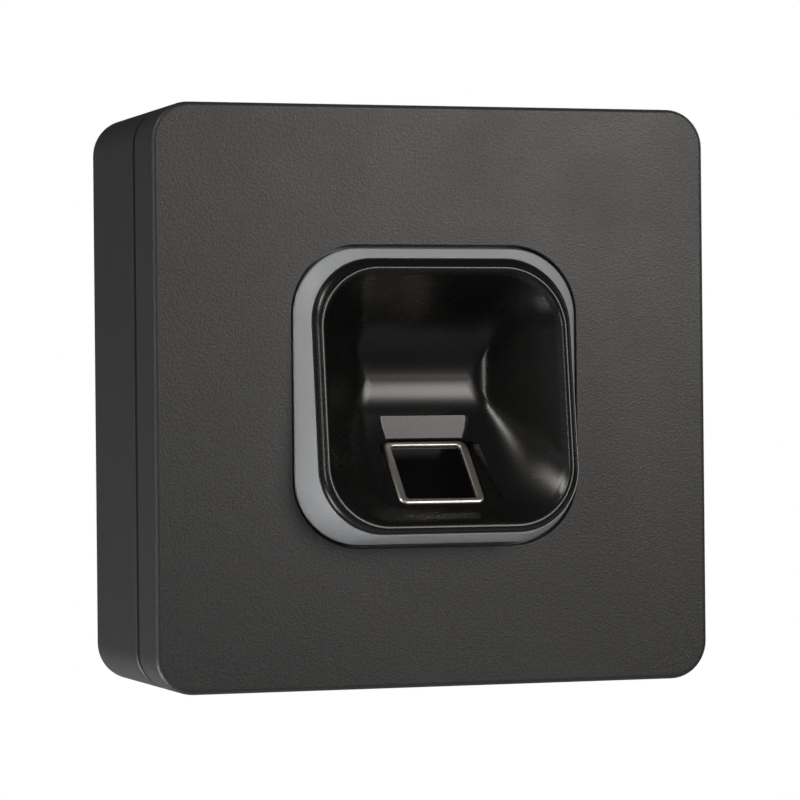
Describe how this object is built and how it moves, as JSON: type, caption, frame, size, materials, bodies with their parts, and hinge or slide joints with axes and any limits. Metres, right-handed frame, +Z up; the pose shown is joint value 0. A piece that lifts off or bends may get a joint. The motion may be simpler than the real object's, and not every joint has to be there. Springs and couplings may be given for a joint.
{
  "type": "fingerprint scanner terminal",
  "caption": "Square surface-mounted fingerprint reader: deep back box, front cover, frosted light ring and a leaning finger bowl over a metal-framed sensor.",
  "frame": {"origin": "centre of the back face, in the plane of the wall", "axes": "+Y points into the wall, +X to the right seen from the front, +Z up; the front face looks along -Y"},
  "size_m": [0.08, 0.0413, 0.08],
  "materials": {
    "box_plastic": "satin moulded",
    "cover_plastic": "fine spark-eroded",
    "frame_plastic": "matt moulded",
    "housing_black": "matt moulded",
    "guide_gloss": "high gloss",
    "ring_diffuser": "frosted translucent",
    "sensor_black": "polished",
    "bezel_steel": "fine brushed",
    "seal_rubber": "matt",
    "grommet_rubber": "matt",
    "screw_steel": "zinc plated",
    "spring_steel": "rolled",
    "board_green": "solder resist",
    "board_white": "white solder resist",
    "terminal_grey": "moulded",
    "terminal_orange": "moulded",
    "contact_brass": "stamped",
    "contact_gold": "gold flashed",
    "connector_black": "moulded",
    "connector_cream": "moulded",
    "chip_black": "moulded epoxy",
    "capacitor_can": "drawn can",
    "flex_amber": "polyimide film",
    "led_phosphor": "phosphor resin",
    "switch_metal": "stamped",
    "magnet_nickel": "nickel plated"
  },
  "bodies": {
    "wall_unit": {"back_box": "box_plastic", "wall_gasket": "seal_rubber", "cable_grommet": "grommet_rubber", "cable_clamp": "frame_plastic", "clamp_screws": "screw_steel", "mounting_frame": "frame_plastic", "frame_screws": "screw_steel", "cover_clips": "spring_steel", "connection_board": "board_green", "connection_board_screws": "screw_steel", "terminal_block": "terminal_grey", "terminal_contacts": "contact_brass", "module_socket": "connector_black", "service_switch": "switch_metal"},
    "terminal_lever_1": {"terminal_button_1": "terminal_orange"},
    "terminal_lever_2": {"terminal_button_2": "terminal_orange"},
    "terminal_lever_3": {"terminal_button_3": "terminal_orange"},
    "terminal_lever_4": {"terminal_button_4": "terminal_orange"},
    "service_key": {"service_button": "connector_black"},
    "reader_module": {"module_housing": "housing_black", "module_screws": "screw_steel", "main_board": "board_green", "main_board_screws": "screw_steel", "pin_header": "connector_black", "header_pins": "contact_gold", "microcontroller": "chip_black", "memory_chip": "chip_black", "capacitors": "capacitor_can", "buzzer": "connector_black", "flex_connector": "connector_cream", "sensor_flex": "flex_amber", "sensor_board": "board_green", "sensor_window": "sensor_black", "sensor_gasket": "seal_rubber", "sensor_bezel": "bezel_steel", "finger_guide": "guide_gloss", "light_ring": "ring_diffuser", "led_board": "board_white", "leds": "led_phosphor", "ring_screws": "screw_steel", "tamper_sensor": "chip_black", "ring_seal": "seal_rubber"},
    "cover": {"front_cover": "cover_plastic", "cover_seal": "seal_rubber", "tamper_magnet": "magnet_nickel"}
  },
  "joints": [
    {"name": "module_release", "type": "slide", "parent": "wall_unit", "child": "reader_module", "axis": [0, -1, 0], "range_m": [0, 0.03]},
    {"name": "cover_release", "type": "slide", "parent": "reader_module", "child": "cover", "axis": [0, -1, 0], "range_m": [0, 0.025]},
    {"name": "terminal_press_1", "type": "slide", "parent": "wall_unit", "child": "terminal_lever_1", "axis": [0, 1, 0], "range_m": [0, 0.0009], "stiffness_N_per_m": 1600, "springref_m": -0.0003},
    {"name": "terminal_press_2", "type": "slide", "parent": "wall_unit", "child": "terminal_lever_2", "axis": [0, 1, 0], "range_m": [0, 0.0009], "stiffness_N_per_m": 1600, "springref_m": -0.0003},
    {"name": "terminal_press_3", "type": "slide", "parent": "wall_unit", "child": "terminal_lever_3", "axis": [0, 1, 0], "range_m": [0, 0.0009], "stiffness_N_per_m": 1600, "springref_m": -0.0003},
    {"name": "terminal_press_4", "type": "slide", "parent": "wall_unit", "child": "terminal_lever_4", "axis": [0, 1, 0], "range_m": [0, 0.0009], "stiffness_N_per_m": 1600, "springref_m": -0.0003},
    {"name": "service_press", "type": "slide", "parent": "wall_unit", "child": "service_key", "axis": [0, 1, 0], "range_m": [0, 0.0004], "stiffness_N_per_m": 4000, "springref_m": -0.0002}
  ]
}
